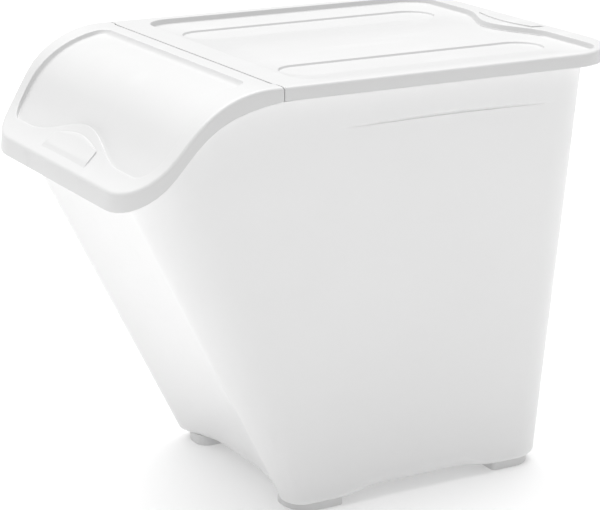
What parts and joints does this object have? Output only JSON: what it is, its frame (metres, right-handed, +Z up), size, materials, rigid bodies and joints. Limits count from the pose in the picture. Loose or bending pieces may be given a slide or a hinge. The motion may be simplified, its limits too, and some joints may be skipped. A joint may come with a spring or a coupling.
{
  "type": "stacking storage bin with hinged flap lid",
  "caption": "Tapered plastic stacking storage bin on small feet, with a lift-off rear lid and a hinged sloping front access flap.",
  "frame": {"origin": "centre of the overall footprint, on the floor", "axes": "+Z up, the flap and sloping wall face -Y, +X to the right when looking along +Y"},
  "size_m": [0.331, 0.484, 0.4013],
  "materials": {
    "bin_plastic": "translucent natural polypropylene, smooth",
    "lid_plastic": "opaque white polypropylene, fine satin",
    "foot_plastic": "grey, dull"
  },
  "bodies": {
    "bin": {"bin_body": "bin_plastic", "foot_front_left": "foot_plastic", "foot_front_right": "foot_plastic", "foot_rear_left": "foot_plastic", "foot_rear_right": "foot_plastic"},
    "lid": {"rear_lid": "lid_plastic"},
    "flap": {"front_flap": "lid_plastic"}
  },
  "joints": [
    {"name": "lid_lift", "type": "slide", "parent": "bin", "child": "lid", "axis": [0, 0, 1], "range_m": [0, 0.12]},
    {"name": "flap_hinge", "type": "hinge", "parent": "lid", "child": "flap", "pos_m": [0, -0.1172, 0.3964], "axis": [-1, 0, 0], "range_deg": [0, 110]}
  ]
}
